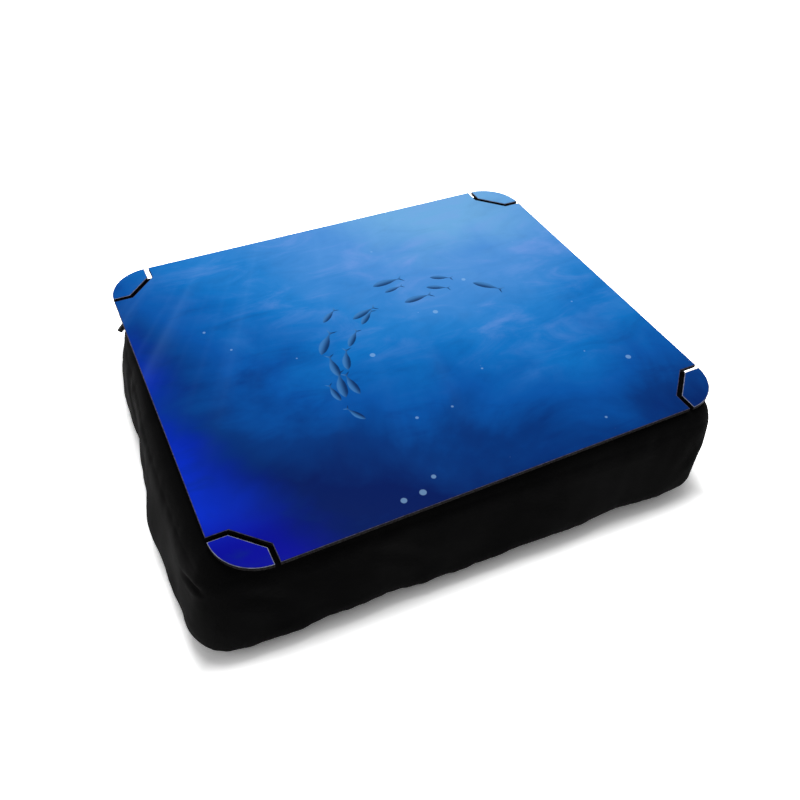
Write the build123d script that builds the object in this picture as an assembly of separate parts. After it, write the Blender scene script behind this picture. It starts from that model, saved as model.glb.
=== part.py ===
"""Lap tray: a thin printed board in five pieces on a zipped, bead-filled cloth cushion.

Millimetres, +Z up, +X to the right along the tray, +Y to its back.
The origin lies on the floor under the middle of the tray.
"""

import os
from math import atan2, cos, degrees, floor, radians, sin, sqrt

from build123d import *

# Tray board and its print
tray_length = 400.0
tray_width = 340.0
tray_corner_radius = 34.0
board_thickness = 2.8
print_thickness = 0.3
print_margin = 0.5

# Slot that parts each corner piece from the main panel
slot_reach = 37.3
slot_depth = 15.4
slot_width = 3.85

# Hook-and-loop fastenings between tray and cushion
hook_thickness = 1.0
loop_thickness = 1.0
strip_width = 20.0
strip_length = 300.0
strip_inset = 50.0
loop_border = 2.0
dot_radius = 5.0
dot_edge = 1.5
loop_dot_border = 0.5

# Cushion: its height, how its edges roll in, and how far its ends bow out
cushion_height = 80.0
foot_round = 18.0
foot_tuck = 19.0
top_round = 19.0
top_tuck = 9.0
side_bow = 8.4
front_corner_radius = 17.5
back_corner_radius = 12.0

# Corners of the cushion's widest line, as shares of the tray's half length and half width.
# The cushion has slumped under the tray, so its foot stands further to the left and to the front.
foot_corner_shares = {
    "front_left": (-1.115, -1.02),
    "front_right": (0.88, -1.13),
    "back_right": (0.955, 0.895),
    "back_left": (-1.038, 0.895),
}
top_corner_shares = {
    "front_left": (-1.04, -0.936),
    "front_right": (0.954, -1.047),
    "back_right": (0.98, 0.978),
    "back_left": (-0.962, 0.978),
}
round_steps = 3
wall_steps = 3

# Cover cloth, its two seams, and the bead bag inside it
cloth_thickness = 0.8
top_seam_drop = 9.0
foot_seam_rise = 7.0
liner_thickness = 0.5
liner_gap = 0.3
liner_side_room = 3.0

# Zip in the back wall
zip_drop = 3.0
zip_length_share = 0.94
slit_height = 12.0
tape_thickness = 0.6
tape_gap = 0.2
tape_hem = 5.0
tooth_pitch = 4.0
tooth_length = 2.2
tooth_reach = 2.2
tooth_height = 1.6
stop_length = 1.5
stop_gap = 0.3

# Zip slider
slider_length = 12.0
slider_width = 8.6
plate_thickness = 1.0
plate_gap = 0.25
flange_width = 1.0
post_width = 1.0
post_length = 3.0
post_gap = 0.1
bridge_rise = 2.3
bridge_radius = 0.7
bridge_leg_length = 1.6
bridge_leg_width = 2.0
bridge_span = 8.0

# Zip puller, which hangs from the bridge and leans to the left
eye_gap = 0.1
eye_wall = 1.1
eye_width = 1.8
pull_length = 32.4
pull_lean = 44.5
stem_width = 2.2
stem_thickness = 1.2
grip_length = 9.0
grip_width = 5.0
grip_thickness = 2.4
grip_round = 0.8

# One overrun serves every cutting shape
overrun = 5.0

corner_sides = {
    "front_left": (-1, -1),
    "front_right": (1, -1),
    "back_right": (1, 1),
    "back_left": (-1, 1),
}

# Levels of the stack, from the floor up
loop_bottom = cushion_height
hook_bottom = loop_bottom + loop_thickness
board_bottom = hook_bottom + hook_thickness
print_bottom = board_bottom + board_thickness
tray_top = print_bottom + print_thickness


def save(shape, node):
    """Write one node's solid, or group of solids, to its own STEP file."""
    shape.label = node
    export_step(shape, f"parts/{node}.step")
    print(node, round(shape.volume, 1))


def group(solids, node):
    """Write separate solids that are alike as one node."""
    save(Compound(children=list(solids)), node)


# Tray board, corner pieces and their prints


def tray_outline(margin):
    """The whole tray seen from above, `margin` inside its edge."""
    return RectangleRounded(
        tray_length - 2 * margin, tray_width - 2 * margin, tray_corner_radius - margin
    )


def corner_outline(corner, cut):
    """The many-sided corner area whose inner edge lies `cut` outside the slot's inner side."""
    side_x, side_y = corner_sides[corner]
    reach = slot_reach - cut
    depth = slot_depth - (sqrt(2) - 1) * cut
    inward = [(-overrun, -overrun), (reach, -overrun), (reach, depth), (depth, reach), (-overrun, reach)]
    points = [
        (side_x * (tray_length / 2 - x), side_y * (tray_width / 2 - y)) for x, y in inward
    ]
    return make_face(Polyline(*points, close=True))


def panel_outline(margin):
    """The main panel seen from above, `margin` inside its own edge all round."""
    outline = tray_outline(margin)
    for corner in corner_sides:
        outline -= corner_outline(corner, -margin)
    return outline


def corner_piece_outline(corner, margin):
    """One corner piece seen from above, `margin` inside its own edge all round."""
    return tray_outline(margin) & corner_outline(corner, slot_width + margin)


def flat_piece(outline, bottom, thickness):
    """A flat piece of the given outline, from its bottom level up."""
    return extrude(Pos(0, 0, bottom) * outline, amount=thickness)


def dot_place(corner):
    """Centre of the fastening dot under one corner piece."""
    side_x, side_y = corner_sides[corner]
    reach = slot_reach - slot_width
    depth = slot_depth - (sqrt(2) - 1) * slot_width
    inward = (reach + depth) / 2 - (dot_radius + dot_edge) / sqrt(2)
    return side_x * (tray_length / 2 - inward), side_y * (tray_width / 2 - inward)


def make_tray():
    save(flat_piece(panel_outline(0), board_bottom, board_thickness), "tray_panel")
    save(flat_piece(panel_outline(print_margin), print_bottom, print_thickness), "tray_panel_print")
    for corner in corner_sides:
        piece = corner_piece_outline(corner, 0)
        save(flat_piece(piece, board_bottom, board_thickness), f"corner_board_{corner}")
        film = corner_piece_outline(corner, print_margin)
        save(flat_piece(film, print_bottom, print_thickness), f"corner_print_{corner}")


def make_fastenings():
    for name, side_y in (("front", -1), ("back", 1)):
        middle_y = side_y * (tray_width / 2 - strip_inset)
        hook = Pos(0, middle_y) * Rectangle(strip_length, strip_width)
        save(flat_piece(hook, hook_bottom, hook_thickness), f"hook_strip_{name}")
        loop = Pos(0, middle_y) * Rectangle(
            strip_length + 2 * loop_border, strip_width + 2 * loop_border
        )
        save(flat_piece(loop, loop_bottom, loop_thickness), f"loop_strip_{name}")
    for corner in corner_sides:
        place = Pos(*dot_place(corner))
        hook_dot = place * Circle(dot_radius)
        save(flat_piece(hook_dot, hook_bottom, hook_thickness), f"hook_dot_{corner}")
        loop_dot = place * Circle(dot_radius + loop_dot_border)
        save(flat_piece(loop_dot, loop_bottom, loop_thickness), f"loop_dot_{corner}")


# Cushion


def cushion_corner(corner, height):
    """Where the widest line's corner stands at a height above the floor."""
    rise = height / cushion_height
    foot_x, foot_y = foot_corner_shares[corner]
    top_x, top_y = top_corner_shares[corner]
    x_share = foot_x + (top_x - foot_x) * rise
    y_share = foot_y + (top_y - foot_y) * rise
    return x_share * tray_length / 2, y_share * tray_width / 2


def ring(height, inset):
    """The cushion's outline at one height, `inset` inside its widest line, at floor level."""
    spots = []
    for corner, (side_x, side_y) in corner_sides.items():
        x, y = cushion_corner(corner, height)
        spots.append(Vector(x - side_x * inset, y - side_y * inset))
    front_left, front_right, back_right, back_left = spots
    right_middle = (front_right + back_right) / 2 + Vector(side_bow, 0)
    left_middle = (front_left + back_left) / 2 - Vector(side_bow, 0)
    edges = [
        Line(front_left, front_right),
        ThreePointArc(front_right, right_middle, back_right),
        Line(back_right, back_left),
        ThreePointArc(back_left, left_middle, front_left),
    ]
    face = make_face(edges).face()
    face = face.fillet_2d(front_corner_radius, face.vertices().sort_by(Axis.Y)[:2])
    return face.fillet_2d(back_corner_radius, face.vertices().sort_by(Axis.Y)[-2:])


def cushion_form(side_inset, end_inset):
    """The slumped cushion, `side_inset` inside its sides and `end_inset` inside floor and top."""
    levels = []
    quarter = [radians(90) * step / round_steps for step in range(round_steps + 1)]
    for angle in quarter:
        height = foot_round * (1 - cos(angle))
        levels.append((height, foot_tuck * (1 - sin(angle))))
    wall_height = cushion_height - foot_round - top_round
    for step in range(1, wall_steps):
        levels.append((foot_round + wall_height * step / wall_steps, 0))
    for angle in reversed(quarter):
        height = cushion_height - top_round * (1 - cos(angle))
        levels.append((height, top_tuck * (1 - sin(angle))))
    squeeze = (cushion_height - 2 * end_inset) / cushion_height
    rings = [
        Pos(0, 0, end_inset + height * squeeze) * ring(height, tuck + side_inset)
        for height, tuck in levels
    ]
    return loft(rings)


def slab(bottom, top):
    """A block that holds everything of the cushion between two levels."""
    size = 2 * (tray_length + tray_width)
    block = Box(size, size, top - bottom, align=(Align.CENTER, Align.CENTER, Align.MIN))
    return Pos(0, 0, bottom) * block


# Frame of the back wall at the zip: first axis to the left, second up the wall, third outwards.
# The slit's upper edge lies a little below the line where the cushion's shoulder starts to roll in.
zip_level = cushion_height - top_round - zip_drop - slit_height / 2
wall_foot_y = cushion_corner("back_left", 0)[1]
wall_top_y = cushion_corner("back_left", cushion_height)[1]
wall_lean = atan2(wall_top_y - wall_foot_y, cushion_height)
zip_y = cushion_corner("back_left", zip_level)[1]
zip_start_x = cushion_corner("back_left", zip_level)[0] + back_corner_radius
zip_end_x = cushion_corner("back_right", zip_level)[0] - back_corner_radius
zip_length = (zip_end_x - zip_start_x) * zip_length_share
wall_plane = Plane(
    origin=(zip_start_x, zip_y, zip_level),
    x_dir=(-1, 0, 0),
    z_dir=(0, cos(wall_lean), -sin(wall_lean)),
)

# Depths in that frame, outwards positive, with zero at the cloth's outer face
tape_face = -(cloth_thickness + tape_gap)
tape_back = tape_face - tape_thickness
tooth_top = tape_face + tooth_height
outer_plate_bottom = tooth_top + plate_gap
outer_plate_top = outer_plate_bottom + plate_thickness
inner_plate_top = tape_back - plate_gap
inner_plate_bottom = inner_plate_top - plate_thickness
bridge_axis_depth = outer_plate_top + bridge_rise
tape_edge = post_width / 2 + post_gap
slider_middle = stop_length + stop_gap + slider_length / 2


def wall_block(along, across, depth):
    """A block in the zip's frame, from three pairs of limits; `along` runs to the right."""
    block = Box(
        along[1] - along[0], across[1] - across[0], depth[1] - depth[0], align=(Align.MAX, Align.MIN, Align.MIN)
    )
    return wall_plane * Pos(-along[0], across[0], depth[0]) * block


def make_cover():
    outside = cushion_form(0, 0)
    inside = cushion_form(cloth_thickness, cloth_thickness)
    top_seam = cushion_height - top_seam_drop
    bands = {
        "cover_base_panel": slab(-overrun, foot_seam_rise),
        "cover_side_band": slab(foot_seam_rise, top_seam),
        "cover_top_panel": slab(top_seam, cushion_height + overrun),
    }
    slit = wall_block(
        (0, zip_length),
        (-slit_height / 2, slit_height / 2),
        (inner_plate_bottom, outer_plate_top),
    )
    for node, block in bands.items():
        piece = (outside & block) - (inside & block)
        if node == "cover_side_band":
            piece -= slit
        save(piece, node)


def make_filling():
    side_inset = cloth_thickness + liner_side_room
    end_inset = cloth_thickness + liner_gap
    liner_outside = cushion_form(side_inset, end_inset)
    filling = cushion_form(side_inset + liner_thickness, end_inset + liner_thickness)
    save(liner_outside - filling, "liner_bag")
    save(filling, "bead_filling")


# Zip


def make_tapes():
    for name, side in (("upper", 1), ("lower", -1)):
        limits = sorted((side * tape_edge, side * (slit_height / 2 + tape_hem)))
        save(wall_block((0, zip_length), limits, (tape_back, tape_face)), f"zip_tape_{name}")
        first = stop_length
        count = floor((zip_length - 2 * stop_length) / tooth_pitch)
        teeth = []
        for number in range(count):
            start = first + number * tooth_pitch + (tooth_pitch - tooth_length) / 2
            across = sorted((side * tape_edge, side * (tape_edge + tooth_reach)))
            teeth.append(
                wall_block((start, start + tooth_length), across, (tape_face, tooth_top))
            )
        group(teeth, f"zip_teeth_{name}")


def make_stops():
    """Two small clips at the closed end and one wide one at the far end."""
    depth = (tape_face, tooth_top)
    reach = tape_edge + tooth_reach
    stops = [
        wall_block((0, stop_length), (tape_edge, reach), depth),
        wall_block((0, stop_length), (-reach, -tape_edge), depth),
        wall_block((zip_length - stop_length, zip_length), (-reach, reach), depth),
    ]
    group(stops, "zip_stops")


def make_slider():
    along = (slider_middle - slider_length / 2, slider_middle + slider_length / 2)
    half_width = slider_width / 2
    body = wall_block(along, (-half_width, half_width), (outer_plate_bottom, outer_plate_top))
    body += wall_block(along, (-half_width, half_width), (inner_plate_bottom, inner_plate_top))
    for side in (-1, 1):
        across = sorted((side * (half_width - flange_width), side * half_width))
        body += wall_block(along, across, (tape_face + plate_gap, outer_plate_bottom))
        body += wall_block(along, across, (inner_plate_top, tape_back - plate_gap / 2))
    post = (along[0], along[0] + post_length)
    half_post = post_width / 2
    body += wall_block(post, (-half_post, half_post), (inner_plate_bottom, outer_plate_top))
    half_leg = bridge_leg_width / 2
    for side in (-1, 1):
        middle = slider_middle + side * bridge_span / 2
        leg = (middle - bridge_leg_length / 2, middle + bridge_leg_length / 2)
        body += wall_block(
            leg, (-half_leg, half_leg), (outer_plate_top, bridge_axis_depth + bridge_radius)
        )
    bar = Rot(0, 90, 0) * Cylinder(bridge_radius, bridge_span)
    body += wall_plane * Pos(-slider_middle, 0, bridge_axis_depth) * bar
    save(body, "zip_slider")


def bridge_centre():
    """Middle of the bridge bar, which is the puller's hinge point."""
    return wall_plane.from_local_coords(Vector(-slider_middle, 0, bridge_axis_depth))


def make_puller():
    """An eye round the bridge bar, a slim stem and a thicker grip, hanging straight down."""
    eye_inner = bridge_radius + eye_gap
    eye_outer = eye_inner + eye_wall
    eye = Rot(0, 90, 0) * (Cylinder(eye_outer, eye_width) - Cylinder(eye_inner, eye_width + overrun))
    grip_top = pull_length - grip_length
    stem_top = (eye_inner + eye_outer) / 2
    stem = Box(
        stem_width, stem_thickness, grip_top - stem_top, align=(Align.CENTER, Align.CENTER, Align.MAX)
    )
    grip = Box(
        grip_width, grip_thickness, grip_length, align=(Align.CENTER, Align.CENTER, Align.MAX)
    )
    grip = fillet(grip.edges(), grip_round)
    hanging = Pos(0, 0, -stem_top) * stem + Pos(0, 0, -grip_top) * grip
    hanging = Rot(0, pull_lean, 0) * hanging
    bore = Rot(0, 90, 0) * Cylinder(eye_inner, eye_width + overrun)
    puller = (eye + hanging) - bore
    save(Pos(*bridge_centre()) * puller, "zip_puller")


os.makedirs("parts", exist_ok=True)
make_tray()
make_fastenings()
make_cover()
make_filling()
make_tapes()
make_stops()
make_slider()
make_puller()
print("tray top", tray_top)
print("zip hinge point", bridge_centre())
print("zip travel", zip_length - 2 * stop_length - 2 * stop_gap - slider_length)
print("wall lean", degrees(wall_lean))
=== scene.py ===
"""Looks of the lap tray: a printed board in five pieces on a slumped black cloth cushion.

Metres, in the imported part's own frame: +X right, +Y to the back, +Z up, the floor at zero.
"""

import math

import bmesh
import bpy
import numpy as np
from mathutils import Matrix, Vector


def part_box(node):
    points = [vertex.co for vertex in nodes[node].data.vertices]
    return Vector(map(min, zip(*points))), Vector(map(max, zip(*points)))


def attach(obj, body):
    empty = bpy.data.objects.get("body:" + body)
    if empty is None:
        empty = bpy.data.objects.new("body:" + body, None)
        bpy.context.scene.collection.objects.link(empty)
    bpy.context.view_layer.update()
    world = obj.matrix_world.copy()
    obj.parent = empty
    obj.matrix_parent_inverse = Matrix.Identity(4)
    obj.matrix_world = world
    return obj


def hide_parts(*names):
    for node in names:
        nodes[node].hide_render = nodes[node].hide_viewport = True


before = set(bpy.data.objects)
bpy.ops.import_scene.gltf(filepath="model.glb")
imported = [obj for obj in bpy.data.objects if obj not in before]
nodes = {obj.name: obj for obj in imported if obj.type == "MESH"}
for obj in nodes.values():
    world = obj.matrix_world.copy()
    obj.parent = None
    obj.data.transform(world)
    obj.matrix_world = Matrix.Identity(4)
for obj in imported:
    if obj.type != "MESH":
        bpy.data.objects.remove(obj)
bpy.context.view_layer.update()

mm = 0.001
corners = ("front_left", "front_right", "back_right", "back_left")
corner_sides = ((-1, -1), (1, -1), (1, 1), (-1, 1))

# Sizes read from the frame
tray_low, tray_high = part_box("tray_panel")
tray_half = np.array([(tray_high.x - tray_low.x) / 2, (tray_high.y - tray_low.y) / 2])
cushion_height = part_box("cover_top_panel")[1].z
foot_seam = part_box("cover_base_panel")[1].z
top_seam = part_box("cover_top_panel")[0].z
tape_low, tape_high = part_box("zip_tape_lower")[0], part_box("zip_tape_upper")[1]

# The cushion's form, as in the part: rolled edges, bowed ends and a foot that has slumped
foot_round = 18 * mm
foot_tuck = 19 * mm
top_round = 19 * mm
top_tuck = 9 * mm
side_bow = 8.4 * mm
corner_radii = (17.5 * mm, 17.5 * mm, 12 * mm, 12 * mm)
foot_corner_shares = np.array([(-1.115, -1.02), (0.88, -1.13), (0.955, 0.895), (-1.038, 0.895)])
top_corner_shares = np.array([(-1.04, -0.936), (0.954, -1.047), (0.98, 0.978), (-0.962, 0.978)])


def new_object(name, data):
    obj = bpy.data.objects.new(name, data)
    bpy.context.scene.collection.objects.link(obj)
    return obj


def built(name, work, mesh=None):
    """An object with the form that a bmesh holds, in a new mesh or in the one given."""
    mesh = mesh or bpy.data.meshes.new(name)
    work.to_mesh(mesh)
    work.free()
    return new_object(name, mesh)


# Small helpers for node materials


def new_material(name):
    """A material, its shader and the place on the object that is being shaded."""
    made = bpy.data.materials.new(name)
    made.use_nodes = True
    parts = made.node_tree.nodes
    return made, parts["Principled BSDF"], parts.new("ShaderNodeTexCoord").outputs["Object"]


def node(tree, kind, inputs=None, **settings):
    """Add a node, set its properties, and fill its inputs with values or links."""
    made = tree.nodes.new(kind)
    for key, value in settings.items():
        setattr(made, key, value)
    for key, value in (inputs or {}).items():
        if isinstance(value, bpy.types.NodeSocket):
            tree.links.new(value, made.inputs[key])
        else:
            made.inputs[key].default_value = value
    return made


def tree_of(*values):
    """The node tree of the first socket among the values."""
    return next(value.id_data for value in values if isinstance(value, bpy.types.NodeSocket))


def calc(operation, first, second=0.0, clamp=False):
    inputs = {0: first, 1: second}
    return node(tree_of(first, second), "ShaderNodeMath", inputs, operation=operation, use_clamp=clamp).outputs[0]


def plus(first, second):
    return calc("ADD", first, second)


def minus(first, second):
    return calc("SUBTRACT", first, second)


def times(first, second, clamp=False):
    return calc("MULTIPLY", first, second, clamp)


def band(value, low, high, out_low=0.0, out_high=1.0):
    """A smooth step from one output to the other as a value goes from low to high."""
    made = node(
        tree_of(value),
        "ShaderNodeMapRange",
        {"Value": value, "From Min": low, "From Max": high, "To Min": out_low, "To Max": out_high},
        interpolation_type="SMOOTHSTEP",
    )
    return made.outputs["Result"]


def mixed(factor, first, second):
    """Two colours mixed by a factor; the mix node keeps its colours in sockets of their own."""
    return node(tree_of(factor), "ShaderNodeMix", {0: factor, 6: first, 7: second}, data_type="RGBA").outputs[2]


def colour(red, green, blue):
    """A colour written as screen values from 0 to 255, turned into linear light."""
    linear = []
    for value in (red, green, blue):
        share = value / 255
        linear.append(share / 12.92 if share <= 0.04045 else ((share + 0.055) / 1.055) ** 2.4)
    return (*linear, 1.0)


def noise_of(vector, scale, detail=3.0, roughness=0.5, distortion=0.0):
    made = node(
        tree_of(vector),
        "ShaderNodeTexNoise",
        {"Vector": vector, "Scale": scale, "Detail": detail, "Roughness": roughness, "Distortion": distortion},
    )
    return made.outputs["Fac"]


def turned(vector, angle):
    """A place turned about the upright axis."""
    inputs = {"Vector": vector, "Angle": angle}
    return node(tree_of(vector), "ShaderNodeVectorRotate", inputs, rotation_type="Z_AXIS").outputs[0]


def cells_of(vector, scale):
    return node(tree_of(vector), "ShaderNodeTexVoronoi", {"Vector": vector, "Scale": scale}, feature="F1").outputs


def parts_of(vector):
    """The x, y and z of a vector."""
    return node(tree_of(vector), "ShaderNodeSeparateXYZ", {0: vector}).outputs


def joined(x, y=0.0, z=0.0):
    return node(tree_of(x), "ShaderNodeCombineXYZ", {0: x, 1: y, 2: z}).outputs[0]


def geometry_of(place, key):
    return node(tree_of(place), "ShaderNodeNewGeometry").outputs[key]


def stretched(vector, scale, turn=0.0):
    """A place scaled along each axis, then turned about the upright one."""
    inputs = {"Vector": vector, "Scale": scale, "Rotation": (0, 0, turn)}
    return node(tree_of(vector), "ShaderNodeMapping", inputs).outputs[0]


def seen_rays(tree):
    """1 for the rays that show a thing to the camera: direct, mirrored and passing through."""
    rays = node(tree, "ShaderNodeLightPath").outputs
    seen = calc("MAXIMUM", rays["Is Camera Ray"], rays["Is Glossy Ray"])
    return calc("MAXIMUM", seen, rays["Is Transmission Ray"])


def bump(shader, height, strength, distance):
    inputs = {"Height": height, "Strength": strength, "Distance": distance}
    set_shader(shader, Normal=node(tree_of(height), "ShaderNodeBump", inputs).outputs[0])


def set_shader(shader, **values):
    """Fill the shader's inputs: a plain value is set on the socket itself, a node's output is linked."""
    for key, value in values.items():
        socket = shader.inputs[key.replace("_", " ")]
        if isinstance(value, bpy.types.NodeSocket):
            shader.id_data.links.new(value, socket)
        else:
            socket.default_value = value


# Materials


def cloth_material(name, dark, light, pitch):
    """Plain-woven cloth: two thread directions in relief, faded in broad patches and on its lint."""
    worn = 0.25
    made, shader, place = new_material(name)
    x, y, z = parts_of(place)
    facing = parts_of(geometry_of(place, "Normal"))
    to_side, to_back, to_top = (calc("ABSOLUTE", part) for part in facing)
    lies_flat = 0.72
    flat = calc("GREATER_THAN", to_top, lies_flat)
    sideways = times(calc("GREATER_THAN", to_side, to_back), minus(1.0, flat))
    across = node(made.node_tree, "ShaderNodeMix", {0: sideways, 2: x, 3: y}).outputs[0]
    up = node(made.node_tree, "ShaderNodeMix", {0: flat, 2: z, 3: y}).outputs[0]
    turn = 2 * math.pi / pitch
    warp = calc("SINE", times(across, turn))
    weft = calc("SINE", times(up, turn))
    weave = times(warp, weft)
    patches = noise_of(place, 18.0, 4.0)
    lint = noise_of(place, 900.0, 2.0)
    fade = plus(times(patches, worn), times(lint, worn))
    rough = band(patches, 0.2, 0.8, 0.78, 0.95)
    relief = plus(weave, times(lint, 0.8))
    bump(shader, relief, 0.35, 0.12 * mm)
    set_shader(shader, Base_Color=mixed(fade, dark, light), Roughness=rough)
    set_shader(shader, Specular_IOR_Level=0.025, Sheen_Weight=0.006, Sheen_Roughness=0.6)
    return made


def board_material(name, rim_highlight_dark, rim_highlight_light):
    """Hardboard: dark scorched cut walls with fine upright streaks, a brown underside, and a pale rim round the print
    that is a painted highlight on the top faces.
    """
    made, shader, place = new_material(name)
    streaks = noise_of(stretched(place, (1.0, 1.0, 0.15)), 700.0)
    fibres = noise_of(place, 260.0, 5.0, 0.65)
    scorched = mixed(band(streaks, 0.35, 0.7), colour(4, 3, 4), colour(15, 11, 11))
    under = mixed(band(fibres, 0.3, 0.7), colour(62, 44, 33), colour(92, 68, 50))
    # Painted highlight: the top faces take a pale colour that stands for the gloss along the board's cut edge.
    rim_highlight = mixed(band(fibres, 0.3, 0.7), rim_highlight_dark, rim_highlight_light)
    up = parts_of(geometry_of(place, "True Normal"))[2]
    walls = mixed(calc("LESS_THAN", up, -0.5), scorched, under)
    whole = mixed(calc("GREATER_THAN", up, 0.5), walls, rim_highlight)
    bump(shader, plus(streaks, fibres), 0.3, 0.1 * mm)
    set_shader(shader, Base_Color=whole, Roughness=band(streaks, 0.3, 0.7, 0.55, 0.85), Specular_IOR_Level=0.05)
    return made


def fish_group():
    """A node group that draws one small fish: its mask, and how far up its body a point lies."""
    tree = bpy.data.node_groups.new("fish", "ShaderNodeTree")
    for name, kind in (("Place", "Vector"), ("Centre", "Vector"), ("Turn", "Float"), ("Size", "Float")):
        tree.interface.new_socket(name, in_out="INPUT", socket_type=f"NodeSocket{kind}")
    for name in ("Mask", "Back"):
        tree.interface.new_socket(name, in_out="OUTPUT", socket_type="NodeSocketFloat")
    given = tree.nodes.new("NodeGroupInput").outputs
    ends = {0: given["Place"], 1: given["Centre"]}
    offset = node(tree, "ShaderNodeVectorMath", ends, operation="SUBTRACT").outputs[0]
    apart = parts_of(turned(offset, given["Turn"]))
    along = calc("DIVIDE", apart[0], given["Size"])
    across = calc("DIVIDE", apart[1], given["Size"])
    arch = minus(across, times(times(along, along), 0.12))
    body = node(tree, "ShaderNodeFloatCurve", {"Value": plus(along, 0.5)})
    curve = body.mapping.curves[0]
    outline = (
        (0.0, 0.15), (0.07, 0.1), (0.17, 0.022), (0.25, 0.035),
        (0.5, 0.115), (0.72, 0.125), (0.9, 0.075), (1.0, 0.0),
    )
    curve.points[0].location = outline[0]
    curve.points[1].location = outline[-1]
    for point in outline[1:-1]:
        curve.points.new(*point)
    body.mapping.update()
    half = body.outputs[0]
    off = calc("ABSOLUTE", arch)
    inside = band(minus(half, off), -0.01, 0.018)
    tail = times(minus(0.14, off), 0.6)
    behind = calc("GREATER_THAN", along, minus(tail, 0.5))
    limits = times(behind, calc("LESS_THAN", along, 0.5))
    out = tree.nodes.new("NodeGroupOutput")
    tree.links.new(times(inside, limits), out.inputs["Mask"])
    tree.links.new(band(arch, -0.09, 0.09), out.inputs["Back"])
    return tree


def shoal():
    """Centre, heading and length of each fish of a loose, curved shoal."""
    rng = np.random.default_rng(11)
    count = 17
    middle_x, middle_y, reach_x, reach_y = 0.035, -0.035, 0.105, 0.085
    found = []
    for number in range(count):
        share = number / (count - 1)
        bend = math.radians(205 - 150 * share)
        stray = rng.uniform(-1, 1, 2) * np.array([0.012, 0.016])
        x = middle_x + reach_x * math.cos(bend) + stray[0]
        y = middle_y + reach_y * math.sin(bend) + stray[1]
        heading = bend + math.pi / 2 + rng.uniform(-0.22, 0.22)
        found.append((x, y, heading, rng.uniform(0.019, 0.034)))
    return found


def print_material():
    """Satin printed film: sunlit water from hazy blue to violet and navy, light shafts, a shoal and bubbles."""
    made, shader, place = new_material("print_film")
    tree = made.node_tree
    x, y, _ = parts_of(place)
    flat = joined(x, y)
    clouds = noise_of(flat, 9.0, 5.0, 0.55, 0.4)
    wisps = noise_of(stretched(flat, (1.0, 2.2, 1.0), 0.5), 16.0, 6.0, 0.6, 0.8)
    wander = times(minus(clouds, 0.5), 0.16)

    sunlit_x, sunlit_y = 0.125, 0.205
    off_x, off_y = minus(x, sunlit_x), minus(y, sunlit_y)
    squares = plus(times(off_x, off_x), times(off_y, off_y))
    far = plus(calc("SQRT", squares), wander)
    ramp = node(tree, "ShaderNodeValToRGB", {"Fac": times(far, 2.0)})
    stops = (
        (0.13, (107, 168, 221)), (0.3, (76, 142, 213)), (0.44, (34, 124, 201)), (0.54, (11, 110, 190)),
        (0.65, (4, 82, 164)), (0.72, (2, 53, 123)), (0.8, (0, 27, 92)),
    )
    ramp.color_ramp.elements[0].position, ramp.color_ramp.elements[0].color = stops[0][0], colour(*stops[0][1])
    ramp.color_ramp.elements[1].position, ramp.color_ramp.elements[1].color = stops[-1][0], colour(*stops[-1][1])
    for position, shade in stops[1:-1]:
        ramp.color_ramp.elements.new(position).color = colour(*shade)
    left = minus(times(x, -1.0), times(y, 0.35))
    left = plus(left, times(wander, 0.7))
    violet = mixed(band(y, -0.11, -0.15), colour(4, 47, 206), colour(3, 7, 158))
    water = mixed(band(left, 0.16, 0.235, 0.0, 0.9), ramp.outputs[0], violet)
    haze = times(band(wisps, 0.46, 0.8), band(far, 0.34, 0.16, 0.0, 0.5))
    water = mixed(haze, water, colour(128, 160, 228))
    gloom = times(band(wisps, 0.5, 0.3), band(far, 0.2, 0.4, 0.1, 0.35))
    water = mixed(gloom, water, colour(2, 40, 112))

    sun_x, sun_y = 0.1, 0.5
    away = calc("DIVIDE", minus(x, sun_x), minus(sun_y, y))
    shafts = noise_of(joined(away), 15.0, 2.0, 0.55)
    shine = times(band(shafts, 0.46, 0.8), band(y, -0.15, 0.17, 0.0, 0.15))
    shine = times(shine, band(clouds, 0.3, 0.7, 0.3, 1.0))
    water = mixed(shine, water, colour(120, 176, 238))

    group = fish_group()
    for centre_x, centre_y, heading, size in shoal():
        fish = node(tree, "ShaderNodeGroup", node_tree=group)
        tree.links.new(flat, fish.inputs["Place"])
        fish.inputs["Centre"].default_value = (centre_x, centre_y, 0)
        fish.inputs["Turn"].default_value = -heading
        fish.inputs["Size"].default_value = size
        body = mixed(fish.outputs["Back"], colour(62, 122, 184), colour(8, 38, 84))
        water = mixed(times(fish.outputs["Mask"], 0.86), water, body)

    specks = cells_of(flat, 70.0)
    chance = node(tree, "ShaderNodeSeparateColor", {0: specks["Color"]}).outputs
    is_bubble = calc("GREATER_THAN", chance[0], 0.86)
    radius = times(is_bubble, band(chance[1], 0.0, 1.0, 0.05, 0.2))
    disc = band(minus(radius, specks["Distance"]), 0.0, 0.05)
    water = mixed(times(disc, 0.42), water, colour(150, 196, 240))

    smudges = band(noise_of(place, 30.0, 4.0), 0.3, 0.75, 0.3, 0.42)
    bump(shader, noise_of(place, 1400.0, 1.0), 0.04, 0.05 * mm)
    set_shader(shader, Base_Color=water, Roughness=smudges, Specular_IOR_Level=0.02)
    return made


def pile_material(name, dark, light, scale):
    """Hook or loop tape: a dense nap of tiny bristles."""
    made, shader, place = new_material(name)
    nap = noise_of(place, scale * 0.8, 4.0, 0.7)
    height = minus(nap, cells_of(place, scale)["Distance"])
    bristles = mixed(band(height, -0.4, 0.5), dark, light)
    bump(shader, height, 0.8, 0.4 * mm)
    set_shader(shader, Base_Color=bristles, Roughness=band(nap, 0.3, 0.7, 0.7, 0.95))
    set_shader(shader, Specular_IOR_Level=0.2, Sheen_Weight=0.1)
    return made


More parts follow.
